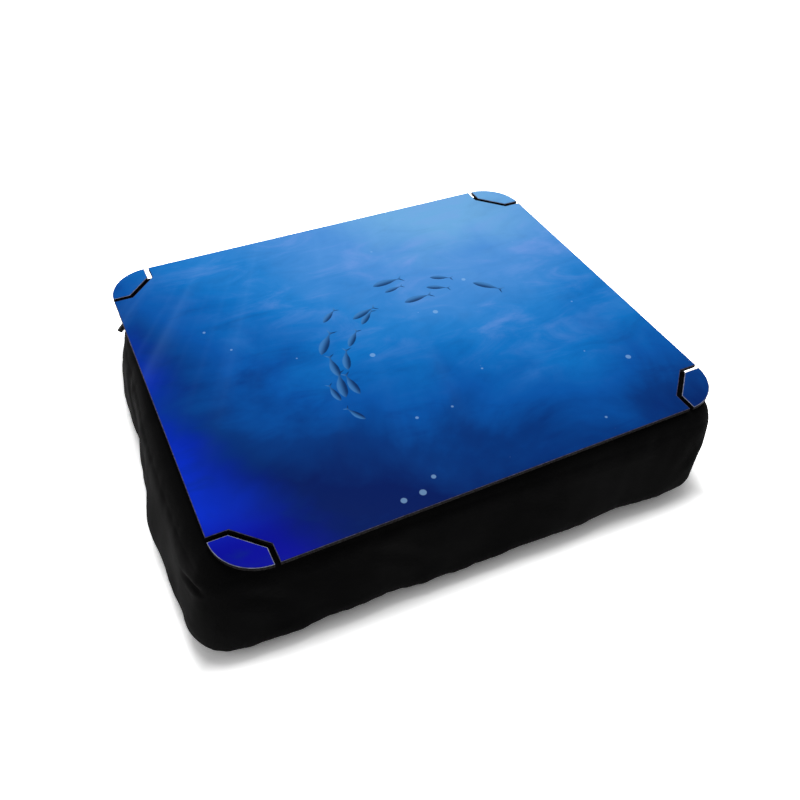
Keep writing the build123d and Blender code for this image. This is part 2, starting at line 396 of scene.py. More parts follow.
def tape_material():
    """Zip tape: a tight diagonal weave of black thread."""
    made, shader, place = new_material("zip_tape")
    x, _, z = parts_of(place)
    turn = 2 * math.pi / (0.8 * mm)
    rib = calc("SINE", times(plus(x, z), turn))
    ladder = calc("SINE", times(z, 1.7 * turn))
    weave = plus(rib, times(ladder, 0.6))
    threads = mixed(band(weave, -1.2, 1.2), colour(14, 14, 15), colour(38, 38, 40))
    rough = band(noise_of(place, 60.0), 0.3, 0.7, 0.75, 0.9)
    bump(shader, weave, 0.5, 0.1 * mm)
    set_shader(shader, Base_Color=threads, Roughness=rough, Specular_IOR_Level=0.25, Sheen_Weight=0.05)
    return made


def smooth_material(name, dark, light, rough_low, rough_high):
    """Moulded or lacquered black with fine wear where it rubs."""
    made, shader, place = new_material(name)
    wear = noise_of(place, 420.0, 5.0, 0.65)
    edges = geometry_of(place, "Pointiness")
    rubbed = times(band(edges, 0.52, 0.6), band(wear, 0.4, 0.7), clamp=True)
    rough = band(wear, 0.3, 0.7, rough_low, rough_high)
    bump(shader, wear, 0.15, 0.05 * mm)
    set_shader(shader, Base_Color=mixed(rubbed, dark, light), Roughness=rough, Specular_IOR_Level=0.4)
    return made


def bead_material():
    """Expanded beads pressed together: pale cells with dark joints."""
    made, shader, place = new_material("beads")
    height = minus(1.0, cells_of(place, 260.0)["Distance"])
    shades = mixed(band(height, 0.2, 0.6), colour(150, 148, 144), colour(236, 236, 234))
    bump(shader, height, 0.9, 1.0 * mm)
    set_shader(shader, Base_Color=shades, Roughness=0.7, Specular_IOR_Level=0.3, Subsurface_Weight=0.1)
    return made


cover_cloth = cloth_material("cover_cloth", colour(2, 2, 2), colour(11, 11, 12), 1.1 * mm)
liner_cloth = cloth_material("liner_cloth", colour(196, 194, 188), colour(226, 224, 218), 0.7 * mm)
# The pale rim colours of both hardboards are painted highlights, fainter on the panel and brighter on the corner
# pieces.
hardboard = board_material("hardboard", colour(44, 46, 74), colour(86, 86, 118))
hardboard_pale_highlight = board_material("hardboard_pale_highlight", colour(92, 96, 122), colour(150, 156, 180))
print_film = print_material()
hook_tape = pile_material("hook_tape", colour(8, 8, 9), colour(60, 60, 64), 900.0)
loop_tape = pile_material("loop_tape", colour(12, 12, 13), colour(70, 70, 74), 520.0)
zip_tape = tape_material()
zip_teeth = smooth_material("zip_teeth", colour(14, 14, 15), colour(62, 62, 66), 0.3, 0.5)
zip_metal = smooth_material("zip_metal", colour(8, 8, 9), colour(38, 38, 38), 0.3, 0.45)
thread = smooth_material("thread", colour(20, 20, 21), colour(58, 58, 60), 0.6, 0.8)
beads = bead_material()


def dress(obj, made):
    obj.data.materials.clear()
    obj.data.materials.append(made)


for kind, ends, made in (
    ("corner_board_", corners, hardboard_pale_highlight), ("corner_print_", corners, print_film),
    ("hook_dot_", corners, hook_tape), ("loop_dot_", corners, loop_tape),
    ("hook_strip_", ("front", "back"), hook_tape), ("loop_strip_", ("front", "back"), loop_tape),
    ("tray_panel", ("",), hardboard), ("tray_panel_", ("print",), print_film),
    ("zip_tape_", ("upper", "lower"), zip_tape), ("zip_teeth_", ("upper", "lower"), zip_teeth),
    ("zip_", ("stops", "slider", "puller"), zip_metal),
):
    for end in ends:
        dress(nodes[kind + end], made)


# The cushion's form as rings of points


def way_along(points):
    """How far along its path each point of a row lies."""
    return np.concatenate([[0], np.cumsum(np.linalg.norm(np.diff(points, axis=0), axis=1))])


def side_points(start, end, start_radius, end_radius, count):
    """One side of an outline, from the middle of one rounded corner to the middle of the next."""
    run = end - start
    length = np.linalg.norm(run)
    ahead = run / length
    inward = np.array([-ahead[1], ahead[0]])
    steps = 8
    dense = []
    for step in range(steps + 1):
        angle = math.pi / 4 * (1 - step / steps)
        along = ahead * start_radius * (1 - math.sin(angle))
        dense.append(start + along + inward * start_radius * (1 - math.cos(angle)))
    for step in range(steps + 1):
        angle = math.pi / 4 * step / steps
        along = ahead * end_radius * (1 - math.sin(angle))
        dense.append(end - along + inward * end_radius * (1 - math.cos(angle)))
    dense = np.array(dense)
    travelled = way_along(dense)
    wanted = np.linspace(0, travelled[-1], count + 1)
    return np.stack([np.interp(wanted, travelled, dense[:, k]) for k in (0, 1)], axis=1)


def corner_spots(height, inset):
    """The sharp corners of the cushion's outline at a height."""
    shares = foot_corner_shares + (top_corner_shares - foot_corner_shares) * (height / cushion_height)
    return shares * tray_half - np.array(corner_sides) * inset


def ring(height, inset, long_count, short_count):
    """The cushion's outline at a height, as points from the front left corner round by the right."""
    spots = corner_spots(height, inset)
    points = []
    for number in range(4):
        after = (number + 1) % 4
        count = long_count if number % 2 == 0 else short_count
        side = side_points(spots[number], spots[after], corner_radii[number], corner_radii[after], count)
        points.append(side[:-1])
    points = np.concatenate(points)
    middle = spots.mean(axis=0)
    half = (spots.max(axis=0) - spots.min(axis=0)) / 2
    across = (points - middle) / half
    points[:, 0] += side_bow * across[:, 0] * np.clip(1 - across[:, 1] ** 2, 0, 1)
    return points


def profile(foot_steps, wall_count, top_steps):
    """Heights of the rings and how far each lies inside the widest line, from the floor up."""
    levels = []
    for step in range(foot_steps + 1):
        angle = math.pi / 2 * step / foot_steps
        levels.append((foot_round * (1 - math.cos(angle)), foot_tuck * (1 - math.sin(angle))))
    wall = cushion_height - foot_round - top_round
    for step in range(1, wall_count):
        levels.append((foot_round + wall * step / wall_count, 0.0))
    for step in range(top_steps, -1, -1):
        angle = math.pi / 2 * step / top_steps
        levels.append((cushion_height - top_round * (1 - math.cos(angle)), top_tuck * (1 - math.sin(angle))))
    return levels


def patch(outline, long_count, short_count):
    """A grid of points that fills a closed outline of (x, y, z) points."""
    front = outline[: long_count + 1]
    right = outline[long_count: long_count + short_count + 1]
    back = outline[long_count + short_count: 2 * long_count + short_count + 1][::-1]
    left = np.concatenate([outline[2 * long_count + short_count:], outline[:1]])[::-1]
    u = np.linspace(0, 1, long_count + 1)[None, :, None]
    v = np.linspace(0, 1, short_count + 1)[:, None, None]
    ruled = (1 - v) * front[None] + v * back[None] + (1 - u) * left[:, None] + u * right[:, None]
    flat = (
        (1 - u) * (1 - v) * front[0] + u * (1 - v) * front[-1] + (1 - u) * v * back[0] + u * v * back[-1]
    )
    return ruled - flat


def grid_boundary(long_count, short_count):
    """Row and column of each boundary point of a patch, in the order of its outline."""
    found = [(0, k) for k in range(long_count)]
    found += [(k, long_count) for k in range(short_count)]
    found += [(short_count, long_count - k) for k in range(long_count)]
    found += [(short_count - k, 0) for k in range(short_count)]
    return found


def quads(*sides):
    """Faces from four grids of vertex numbers, one for each corner of a face."""
    return np.stack(sides, axis=-1).reshape(-1, 4)


def closed_mesh(name, walls, floor_patch, top_patch):
    """A closed mesh from wall rings and two patches that share their outlines; returns it and its index arrays."""
    rows, columns = walls.shape[:2]
    short_count, long_count = (size - 1 for size in floor_patch.shape[:2])
    points = [walls.reshape(-1, 3)]
    wall_index = np.arange(rows * columns).reshape(rows, columns)
    used = rows * columns
    border = grid_boundary(long_count, short_count)
    patch_index = []
    for grid, ring_row in ((floor_patch, 0), (top_patch, rows - 1)):
        index = np.full((short_count + 1, long_count + 1), -1)
        for column, (row, place) in enumerate(border):
            index[row, place] = wall_index[ring_row, column]
        inner = grid[1:-1, 1:-1].reshape(-1, 3)
        index[1:-1, 1:-1] = used + np.arange(len(inner)).reshape(short_count - 1, long_count - 1)
        used += len(inner)
        points.append(inner)
        patch_index.append(index)
    ahead = np.roll(wall_index, -1, axis=1)
    low, high = patch_index
    faces = [
        quads(wall_index[:-1], ahead[:-1], ahead[1:], wall_index[1:]),
        quads(low[:-1, :-1], low[1:, :-1], low[1:, 1:], low[:-1, 1:]),
        quads(high[:-1, :-1], high[:-1, 1:], high[1:, 1:], high[1:, :-1]),
    ]
    mesh = bpy.data.meshes.new(name)
    mesh.from_pydata(np.concatenate(points).tolist(), [], np.concatenate(faces).tolist())
    mesh.validate()
    return new_object(name, mesh), wall_index, low, high


def vectors_of(obj, key):
    """The places ("co") or normals ("normal") of an object's vertices."""
    found = np.empty(len(obj.data.vertices) * 3)
    obj.data.vertices.foreach_get(key, found)
    return found.reshape(-1, 3)


def set_places(obj, points):
    obj.data.vertices.foreach_set("co", np.ascontiguousarray(points, dtype=np.float64).ravel())
    obj.data.update()


def bumps(points, scale, seed):
    """Smooth seeded noise, mostly between -0.6 and 0.6: a sum of waves of many directions and lengths."""
    level = 0.28
    rng = np.random.default_rng(seed)
    count = 24
    ways = rng.normal(size=(count, 3))
    ways *= (2 * math.pi * scale * rng.uniform(0.35, 1.0, count) / np.linalg.norm(ways, axis=1))[:, None]
    phases = rng.uniform(0, 2 * math.pi, count)
    return level * math.sqrt(2 / count) * np.cos(points @ ways.T + phases).sum(axis=1)


def smooth_step(value, low, high):
    share = np.clip((value - low) / (high - low), 0, 1)
    return share * share * (3 - 2 * share)


# Where the zip's wall has to stay flat
wall_foot_y = foot_corner_shares[3][1] * tray_half[1]
wall_top_y = top_corner_shares[3][1] * tray_half[1]
back_depth = 30 * mm


def wall_y(height):
    return wall_foot_y + (wall_top_y - wall_foot_y) * height / cushion_height


def off_box(points, low, high, axes):
    """How far points lie outside a box along two axes."""
    first, second = (np.maximum(low[k] - points[:, k], points[:, k] - high[k]) for k in axes)
    return np.maximum(np.maximum(first, second), 0)


def zip_hold(points):
    """1 on the flat strip of wall round the zip, falling to 0 away from it."""
    reach = 9 * mm
    fade = 14 * mm
    off = off_box(points, tape_low, tape_high, (0, 2))
    at_back = smooth_step(points[:, 1], wall_foot_y - back_depth, wall_foot_y - back_depth / 2)
    return at_back * (1 - smooth_step(off, reach - fade / 2, fade))


def on_base(points):
    return points[:, 2] < 0.2 * mm


def on_top(points):
    return points[:, 2] > cushion_height - 0.2 * mm


def edge_distance(points, cap_level):
    """How far points lie inside the outline of the flat cap at one level."""
    spots = corner_spots(cap_level, foot_tuck if cap_level == 0 else top_tuck)
    least = np.full(len(points), np.inf)
    for number in range(4):
        start, end = spots[number], spots[(number + 1) % 4]
        ahead = (end - start) / np.linalg.norm(end - start)
        inward = np.array([-ahead[1], ahead[0]])
        least = np.minimum(least, (points[:, :2] - start) @ inward)
    return least


def eased(obj, shifts, passes, share):
    """Shifts drawn towards their neighbours' mean, so that only `share` of the short wrinkles stays."""
    ends = np.empty(len(obj.data.edges) * 2, dtype=np.int32)
    obj.data.edges.foreach_get("vertices", ends)
    ends = ends.reshape(-1, 2)
    counts = np.bincount(ends.ravel(), minlength=len(shifts))[:, None]
    smooth = shifts
    for _ in range(passes):
        total = np.zeros_like(smooth)
        np.add.at(total, ends[:, 0], smooth[ends[:, 1]])
        np.add.at(total, ends[:, 1], smooth[ends[:, 0]])
        smooth = (smooth + total / counts) / 2
    return smooth + (shifts - smooth) * share


def simulate_cover(obj, form):
    """Let slack cloth swell under gentle pressure, held at its caps and zip; returns where its points settle."""
    frames = 24
    deepest, highest = -1.2 * mm, 3.2 * mm
    passes, kept_share = 40, 0.25
    start_inset = 1.2 * mm
    rng = np.random.default_rng(5)
    points = form.copy()
    outward = vectors_of(obj, "normal")
    base_in = edge_distance(points, 0)
    top_in = edge_distance(points, cushion_height)
    held_base = on_base(points) * smooth_step(base_in, 6 * mm, 24 * mm)
    held_top = on_top(points) * smooth_step(top_in, 4 * mm, 22 * mm)
    held = np.maximum(np.maximum(held_base, held_top), zip_hold(points))
    shiver = rng.normal(0, 0.25 * mm, len(points))
    points += outward * ((shiver - start_inset) * (1 - held))[:, None]
    set_places(obj, points)
    pins = obj.vertex_groups.new(name="pins")
    for number in np.nonzero(held > 0.02)[0]:
        pins.add([int(number)], float(held[number]), "REPLACE")
    cloth = obj.modifiers.new("cloth", "CLOTH")
    chosen = dict(
        quality=6, mass=0.12, tension_stiffness=25, compression_stiffness=12, shear_stiffness=6, bending_stiffness=1.5,
        air_damping=1.5, use_pressure=True, uniform_pressure_force=4.5, shrink_min=-0.015, vertex_group_mass="pins",
        pin_stiffness=1.0,
    )
    for key, value in chosen.items():
        setattr(cloth.settings, key, value)
    cloth.settings.effector_weights.gravity = 0.0
    cloth.collision_settings.use_collision = False
    cloth.collision_settings.use_self_collision = False
    cloth.point_cache.frame_start = 1
    cloth.point_cache.frame_end = frames
    scene = bpy.context.scene
    for number in range(1, frames + 1):
        scene.frame_set(number)
    found = vectors_of(obj.evaluated_get(bpy.context.evaluated_depsgraph_get()), "co")
    obj.modifiers.clear()
    scene.frame_set(1)
    moved = found - form
    along = np.einsum("ij,ij->i", moved, outward)
    limited = np.clip(along, deepest, highest)
    return form + eased(obj, moved + outward * (limited - along)[:, None], passes, kept_share)


def catmull(rows, wanted, closed=False):
    """Points on smooth curves through the rows of an array, at fractional row numbers."""
    count = len(rows)
    base = np.floor(wanted).astype(int)
    base = base % count if closed else np.clip(base, 0, count - 2)
    share = wanted - np.floor(wanted) if closed else wanted - base
    share = share.reshape((-1,) + (1,) * (rows.ndim - 1))

    def pick(offset):
        return rows[(base + offset) % count] if closed else rows[np.clip(base + offset, 0, count - 1)]

    a, b, c, d = pick(-1), pick(0), pick(1), pick(2)
    return 0.5 * (
        2 * b + (c - a) * share + (2 * a - 5 * b + 4 * c - d) * share ** 2 + (3 * b - a - 3 * c + d) * share ** 3
    )


long_count, short_count = 76, 64
levels = profile(foot_steps=6, wall_count=9, top_steps=5)
ring_size = 2 * (long_count + short_count)
form_walls = np.array([
    np.column_stack([ring(height, tuck, long_count, short_count), np.full(ring_size, height)])
    for height, tuck in levels
])
form_floor = patch(form_walls[0], long_count, short_count)
form_top = patch(form_walls[-1], long_count, short_count)
coarse, wall_index, floor_index, top_index = closed_mesh("cover_coarse", form_walls, form_floor, form_top)
form = vectors_of(coarse, "co")
settled = simulate_cover(coarse, form)
bpy.data.objects.remove(coarse)

# Where the real cushion bulges or is drawn in, fitted to its outline in the photograph: place, reach and push, in
# millimetres
nudges = (
    ((-221, -60, 30), 120, (-1.8, 0, 0)),
    ((-204, 137, 38), 30, (6.5, 0, 0)),
    ((-203, 132, 54), 22, (5.5, 0, 0)),
    ((-199, 128, 69), 14, (3, 0, 0)),
    ((-201, 156, 38), 17, (5, 0, 0)),
    ((-204, 104, 57), 11, (1.6, 0, 0)),
    ((-216, 45, 16), 18, (-1.4, 0, 0)),
    ((-218, 28, 22), 38, (6.5, 0, 0)),
    ((-215, -5, 45), 18, (-1.8, 0, 0)),
    ((-219, -28, 27), 12, (3.7, 0, 0)),
    ((-221, -55, 25), 16, (-1.5, 0, 0)),
    ((-221, -68, 24), 22, (-2.8, 0, 0)),
    ((-222, -112, 16), 14, (-1.2, 0, 0)),
    ((-222, -138, 16), 11, (0.8, 0, 0)),
    ((-221, -147, 20), 16, (-3, 0, 0)),
    ((-220, -158, 14), 11, (1.6, 1.2, 0)),
    ((-209, -169, 12), 11, (0.4, 1, 0)),
    ((-188, -171, 8), 22, (0, -3.5, 0)),
    ((-158, -171, 6), 15, (0, -3.7, 0)),
    ((-120, -172, 8), 60, (0, -1.8, 0)),
    ((-91, -175, 8), 12, (0, 0.9, 0)),
    ((-62, -174, 6), 14, (0, -2.5, 0)),
    ((-33, -175, 5), 14, (0, -3.2, 0)),
    ((-5, -176, 5), 14, (0, -3, 0)),
    ((60, -183, 6), 16, (0, -0.6, 0)),
    ((100, -184, 8), 20, (0, 1.4, 0)),
    ((158, -187, 9), 12, (0, 1.4, 0)),
    ((168, -186, 18), 9, (0.7, -1, 0)),
    ((174, -184, 14), 14, (-1.2, 1.5, 0)),
    ((177, -181, 38), 12, (-1.4, 0.4, 0)),
    ((184, -174, 64), 14, (-1.6, 0, 0)),
    ((-163, 162, 79), 16, (0, 3, 0.6)),
    ((165, 165, 73), 20, (0, 9, 1.5)),
    ((188, -128, 78), 16, (4, 0, 0.6)),
)
for centre, reach, shift in nudges:
    away = np.linalg.norm(form - np.array(centre) * mm, axis=1) / (reach * mm)
    settled += (np.exp(-(away ** 2)) * (1 - zip_hold(form)))[:, None] * np.array(shift) * mm


# The finer cover: rows and columns are added to the settled grid, closest where seams and the zip need them


def spread(grid_points, row_numbers, finer):
    """A wall grid at fractional rows, with its columns multiplied; columns run round in a circle."""
    rows = catmull(grid_points, row_numbers)
    columns = np.arange(grid_points.shape[1] * finer) / finer
    return catmull(rows.transpose(1, 0, 2), columns, closed=True).transpose(1, 0, 2)


def spread_patch(grid_points, finer):
    """A floor or top grid with its rows and columns multiplied."""
    rows = catmull(grid_points, np.arange((len(grid_points) - 1) * finer + 1) / finer)
    columns = np.arange((grid_points.shape[1] - 1) * finer + 1) / finer
    return catmull(rows.transpose(1, 0, 2), columns).transpose(1, 0, 2)


level_array = np.array(levels)
level_lengths = way_along(level_array)


def length_at(height):
    return float(np.interp(height, level_array[:, 0], level_lengths))


slit_left, slit_right = tape_low.x, tape_high.x
slit_half = 5.9 * mm
slit_level = (tape_low.z + tape_high.z) / 2
slit_heights = (slit_level - slit_half, slit_level + slit_half)
slit_depth = 3.2 * mm
finer = 2


def row_lengths():
    """Profile lengths of the fine rows: even, with more at both seams and at the zip's slit."""
    even_count = 46
    found = list(np.linspace(0, level_lengths[-1], even_count))
    extra = []
    for seam in (foot_seam, top_seam):
        extra += [length_at(seam) + k * mm for k in (-3.2, -1.8, -0.9, 0, 0.9, 1.8, 3.2)]
    for edge, side in zip(slit_heights, (1, -1)):
        extra += [length_at(edge) + side * k * mm for k in (-1.6, -0.7, -0.15, 0.1, 0.5)]
    kept = [s for s in found if min(abs(s - e) for e in extra) > 0.7 * mm]
    return np.array(sorted(kept + extra))


fine_lengths = row_lengths()
row_numbers = np.interp(fine_lengths, level_lengths, np.arange(len(levels)))


def fine_cover(points):
    """Fine wall, floor and top grids from the points of the coarse mesh."""
    return (
        spread(points[wall_index], row_numbers, finer),
        spread_patch(points[floor_index], finer),
        spread_patch(points[top_index], finer),
    )


fine_walls, fine_floor, fine_top = fine_cover(settled)
cover, cover_wall, cover_low, cover_high = closed_mesh("cushion_cover", fine_walls, fine_floor, fine_top)


def by_vertex(walls, low, high):
    """Values of three grids put in the order of the cover's vertices."""
    found = np.zeros((len(cover.data.vertices),) + walls.shape[2:])
    found[cover_low] = low
    found[cover_high] = high
    found[cover_wall] = walls
    return found


cover_form = by_vertex(*fine_cover(form))

# Each vertex's way round the wall and up the profile; on the caps one length stands for all
around = way_along(spread(form_walls, np.array([len(levels) / 2]), finer)[0])
shape = fine_walls.shape[:2]
past_every_seam = 9.0
along_seam = by_vertex(np.broadcast_to(around, shape), 0, 0)
on_profile = by_vertex(np.broadcast_to(fine_lengths[:, None], shape), 0, past_every_seam)


# Soft creases that stay in the cloth: start, end, half width and depth, in millimetres
folds = (
    ((-214, -134, 56), (-212, -156, 62), 2.2, 2.2),
    ((-205, 60, 74), (-214, 40, 30), 5.0, 1.6),
    ((-214, -20, 60), (-219, -44, 22), 5.0, 1.4),
    ((-196, 128, 60), (-208, 96, 26), 5.0, 1.5),
    ((-190, -166, 60), (-160, -170, 40), 5.0, 1.3),
    ((-60, -172, 30), (-100, -170, 62), 5.0, 1.2),
    ((60, -176, 24), (20, -172, 60), 5.0, 1.2),
    ((150, -180, 30), (176, -176, 62), 5.0, 1.4),
    ((190, -120, 62), (186, -84, 26), 5.0, 1.4),
    ((194, 30, 24), (200, 72, 62), 5.0, 1.4),
    ((-196, 159, 34), (-170, 160, 22), 4.0, 1.2),
    ((186, 162, 40), (168, 161, 24), 4.0, 1.2),
    ((30, 158, 34), (64, 159, 16), 4.0, 1.1),
    ((-60, 158, 14), (-96, 159, 36), 4.0, 1.1),
)


def fold_depth(start):
    """How far each point is pressed in by the creases, or raised on the lip beside them."""
    lip_share, lip_off = 0.35, 2.2
    total = np.zeros(len(start))
    for first, last, width, depth in folds:
        first, last = np.array(first) * mm, np.array(last) * mm
        run = last - first
        share = np.clip((start - first) @ run / (run @ run), 0, 1)
        off = np.linalg.norm(start - first - share[:, None] * run, axis=1) / mm
        bowl = np.sin(math.pi * np.clip(share, 0.04, 0.96)) ** 0.6
        groove = depth * bowl * np.exp(-((off / width) ** 2))
        lip = lip_share * depth * bowl * np.exp(-(((off - lip_off * width) / width) ** 2))
        total += (groove - lip) * mm
    return total


def tape_hold(start):
    """1 on the top panel where a loop strip or dot is sewn on, falling to 0 round it."""
    held = np.zeros(len(start))
    for name in ["loop_strip_front", "loop_strip_back"] + [f"loop_dot_{corner}" for corner in corners]:
        off = off_box(start, *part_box(name), (0, 1))
        held = np.maximum(held, 1 - smooth_step(off, 1.5 * mm, 11 * mm))
    return held * on_top(start)


def drape(points, start):
    """Add what makes the cover cloth: loose beads' lumps, soft creases, drawn-in seams and their puckers."""
    calm_low, calm_high = 0.75, 0.7
    lump_height, knob_height, crease_depth, crease_rise = 1.6, 0.7, 0.5, 0.15
    groove_depth, groove_width = 1.25, 1.5
    pucker_height, pucker_width = 0.32, 5.5
    puff_height, puff_off, puff_width = 0.5, 6.5, 3.5
    outward = vectors_of(cover, "normal")
    flat_low = on_base(start) * smooth_step(edge_distance(start, 0), 3 * mm, 16 * mm)
    flat_high = on_top(start) * smooth_step(edge_distance(start, cushion_height), 0, 10 * mm)
    sewn = tape_hold(start)
    hold = np.maximum(zip_hold(start), sewn)
    free = np.minimum(1 - calm_low * flat_low, 1 - calm_high * flat_high) * (1 - hold)
    lumps = bumps(start, 15, 1) * lump_height * mm + bumps(start, 34, 2) * knob_height * mm
    ripple = start * np.array([1.0, 1.0, 0.35]) + np.stack([bumps(start, 14, 6)] * 3, axis=1) * 0.012
    creases = -np.abs(bumps(ripple, 52, 3)) * crease_depth * mm + crease_rise * mm
    push = (lumps + creases - fold_depth(start)) * free
    for seam, pitch, seed, strength in ((foot_seam, 12.0, 4, 0.75), (top_seam, 10.0, 5, 0.15)):
        off = (on_profile - length_at(seam)) / mm
        sway = bumps(np.column_stack([along_seam, np.full(len(start), seed), np.zeros(len(start))]), 40, seed)
        depth = groove_depth + 0.3 * sway
        phase = 2 * math.pi * along_seam / (pitch * mm) + 2.6 * sway
        pucker = np.sin(phase) * np.exp(-((off / pucker_width) ** 2)) * (pucker_height + 0.25 * sway)
        puff = puff_height * np.exp(-(((np.abs(off) - puff_off) / puff_width) ** 2))
        push += strength * (pucker + puff - depth * np.exp(-((off / groove_width) ** 2))) * mm * (1 - hold)
    out = points + outward * push[:, None]
    inside = (
        (start[:, 1] > wall_foot_y - back_depth)
        & (start[:, 0] > slit_left)
        & (start[:, 0] < slit_right)
        & (start[:, 2] > slit_heights[0])
        & (start[:, 2] < slit_heights[1])
    )
    out[inside, 1] -= slit_depth
    out[:, 2] = np.clip(out[:, 2], 0, cushion_height + 0.9 * mm)
    out[:, 2] += (cushion_height - out[:, 2]) * sewn
    return out


set_places(cover, drape(vectors_of(cover, "co"), cover_form))


def finish_piece(obj, material, body="cushion", replaced=()):
    dress(obj, material)
    for face in obj.data.polygons:
        face.use_smooth = True
    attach(obj, body)
    if replaced:
        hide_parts(*replaced)


finish_piece(cover, cover_cloth, replaced=("cover_top_panel", "cover_side_band", "cover_base_panel"))


def inner_piece(name, inset, material, replaced):
    """A closed form a constant way inside the cover, with small wrinkles of its own."""
    obj, *_ = closed_mesh(name, settled[wall_index], settled[floor_index], settled[top_index])
    found = vectors_of(obj, "co")
    wrinkles = bumps(found, 60, 8) * 0.25 * mm
    set_places(obj, found + vectors_of(obj, "normal") * (wrinkles - inset)[:, None])
    finish_piece(obj, material, replaced=(replaced,))


inner_piece("liner", 4.6 * mm, liner_cloth, "liner_bag")
inner_piece("bead_fill", 5.6 * mm, beads, "bead_filling")


# Rounded copies of the small moulded parts


def rounded_copy(name, node_name, radius, material, body):
    """A copy of a CAD node with flat faces merged and every sharp edge rolled over."""
    mesh = nodes[node_name].data.copy()
    mesh.name = name
    work = bmesh.new()
    work.from_mesh(mesh)
    bmesh.ops.remove_doubles(work, verts=work.verts, dist=0.001 * mm)
    bmesh.ops.dissolve_limit(work, angle_limit=math.radians(2), verts=work.verts, edges=work.edges)
    sharp = [e for e in work.edges if len(e.link_faces) == 2 and e.calc_face_angle() > math.radians(35)]
    bmesh.ops.bevel(work, geom=sharp, offset=radius, segments=2, profile=0.5, affect="EDGES", clamp_overlap=True)
    finish_piece(built(name, work, mesh), material, body, (node_name,))


rounded_copy("zip_chain_upper", "zip_teeth_upper", 0.35 * mm, zip_teeth, "cushion")
rounded_copy("zip_chain_lower", "zip_teeth_lower", 0.35 * mm, zip_teeth, "cushion")
rounded_copy("zip_end_stops", "zip_stops", 0.3 * mm, zip_metal, "cushion")
rounded_copy("slider_body", "zip_slider", 0.22 * mm, zip_metal, "zip_slider")
rounded_copy("puller_tab", "zip_puller", 0.25 * mm, zip_metal, "zip_puller")


# Topstitching: short raised threads in rows


def stitch_row(name, start, end, outward, length=2.6 * mm, gap=0.7 * mm, width=0.45 * mm):
    """A row of stitches from start to end, each an arched thread that dips into the cloth at its ends."""
    steps, sides = 4, 6
    thin_end, swell, arch, sunk = 0.55, 0.45, 0.75, 0.25
    start, end, outward = Vector(start), Vector(end), Vector(outward).normalized()
    ahead = (end - start).normalized()
    across = outward.cross(ahead)
    count = int((end - start).length / (length + gap))
    work = bmesh.new()
    for number in range(count):
        first = start + ahead * (number * (length + gap) + gap / 2)
        rings = []
        for step in range(steps + 1):
            share = step / steps
            lift = math.sin(math.pi * share)
            thick = width / 2 * (thin_end + swell * lift)
            middle = first + ahead * length * share + outward * (lift * width * arch - width * sunk)
            rings.append([
                work.verts.new(middle + across * thick * math.cos(turn) + outward * thick * math.sin(turn))
                for turn in (math.pi * k / 3 for k in range(sides))
            ])
        for before, after in zip(rings, rings[1:]):
            for k in range(sides):
                work.faces.new((before[k], before[(k + 1) % sides], after[(k + 1) % sides], after[k]))
        work.faces.new(rings[0][::-1])
        work.faces.new(rings[-1])
    bmesh.ops.recalc_face_normals(work, faces=work.faces)
    finish_piece(built(name, work), thread)


lean = math.atan2(wall_top_y - wall_foot_y, cushion_height)
wall_out = (0, math.cos(lean), -math.sin(lean))
stitch_off, stitch_past = 2.2 * mm, 1 * mm
for name, height in (("lower", slit_heights[0] - stitch_off), ("upper", slit_heights[1] + stitch_off)):
    y = wall_y(height)
    first, last = (slit_left - stitch_past, y, height), (slit_right + stitch_past, y, height)
    stitch_row(f"zip_topstitch_{name}", first, last, wall_out)


# Hook and loop tape: a sewn or glued backing with a nap of loops, or rows of hooks


def tape_piece(name, node_name, faces_up, step, relief, material, body, is_round=False):
    """A field of nap over a flat backing, inside the CAD node's own box."""
    backing_share = 0.45
    low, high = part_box(node_name)
    middle = (low + high) / 2
    half_x, half_y = (high.x - low.x) / 2, (high.y - low.y) / 2
    count_x, count_y = round(2 * half_x / step), round(2 * half_y / step)
    u, v = np.meshgrid(np.linspace(-1, 1, count_x + 1), np.linspace(-1, 1, count_y + 1))
    if is_round:
        u, v = u * np.sqrt(1 - v ** 2 / 2), v * np.sqrt(1 - u ** 2 / 2)
        border = (1 - np.hypot(u, v)) * half_x
    else:
        border = np.minimum((1 - np.abs(u)) * half_x, (1 - np.abs(v)) * half_y)
    x, y = middle.x + u * half_x, middle.y + v * half_y
    thickness = high.z - low.z
    nap = relief(x, y) * smooth_step(border, 0.5 * mm, 1.4 * mm)
    rise = thickness * (backing_share + (1 - backing_share) * np.clip(nap, 0, 1))
    front_level = low.z + rise if faces_up else high.z - rise
    back_level = low.z if faces_up else high.z
    grid = np.stack([x, y, front_level], axis=-1)
    index = np.arange(grid.shape[0] * grid.shape[1]).reshape(grid.shape[:2])
    edge = np.concatenate([index[0, :-1], index[:-1, -1], index[-1, :0:-1], index[:0:-1, 0]])
    points = grid.reshape(-1, 3)
    backing = points[edge]
    backing[:, 2] = back_level
    below = np.arange(len(edge)) + len(points)
    faces = quads(index[:-1, :-1], index[:-1, 1:], index[1:, 1:], index[1:, :-1]).tolist()
    ahead = np.roll(np.arange(len(edge)), -1)
    faces += quads(edge, below, below[ahead], edge[ahead]).tolist()
    faces.append(below[::-1].tolist())
    mesh = bpy.data.meshes.new(name)
    mesh.from_pydata(np.concatenate([points, backing]).tolist(), [], faces)
    work = bmesh.new()
    work.from_mesh(mesh)
    bmesh.ops.recalc_face_normals(work, faces=work.faces)
    finish_piece(built(name, work, mesh), material, body, (node_name,))


def loops(x, y):
    """A fuzzy nap."""
    spots = np.column_stack([x.ravel(), y.ravel(), np.zeros(x.size)])
    return (0.6 + 0.55 * bumps(spots, 620, 9) + 0.3 * bumps(spots, 120, 10)).reshape(x.shape)


def hooks(x, y):
    """Rows of small knobs."""
    turn = 2 * math.pi / (2.4 * mm)
    wave = np.sin(x * turn) * np.sin(y * turn)
    return np.sqrt(np.clip(wave, 0, 1))


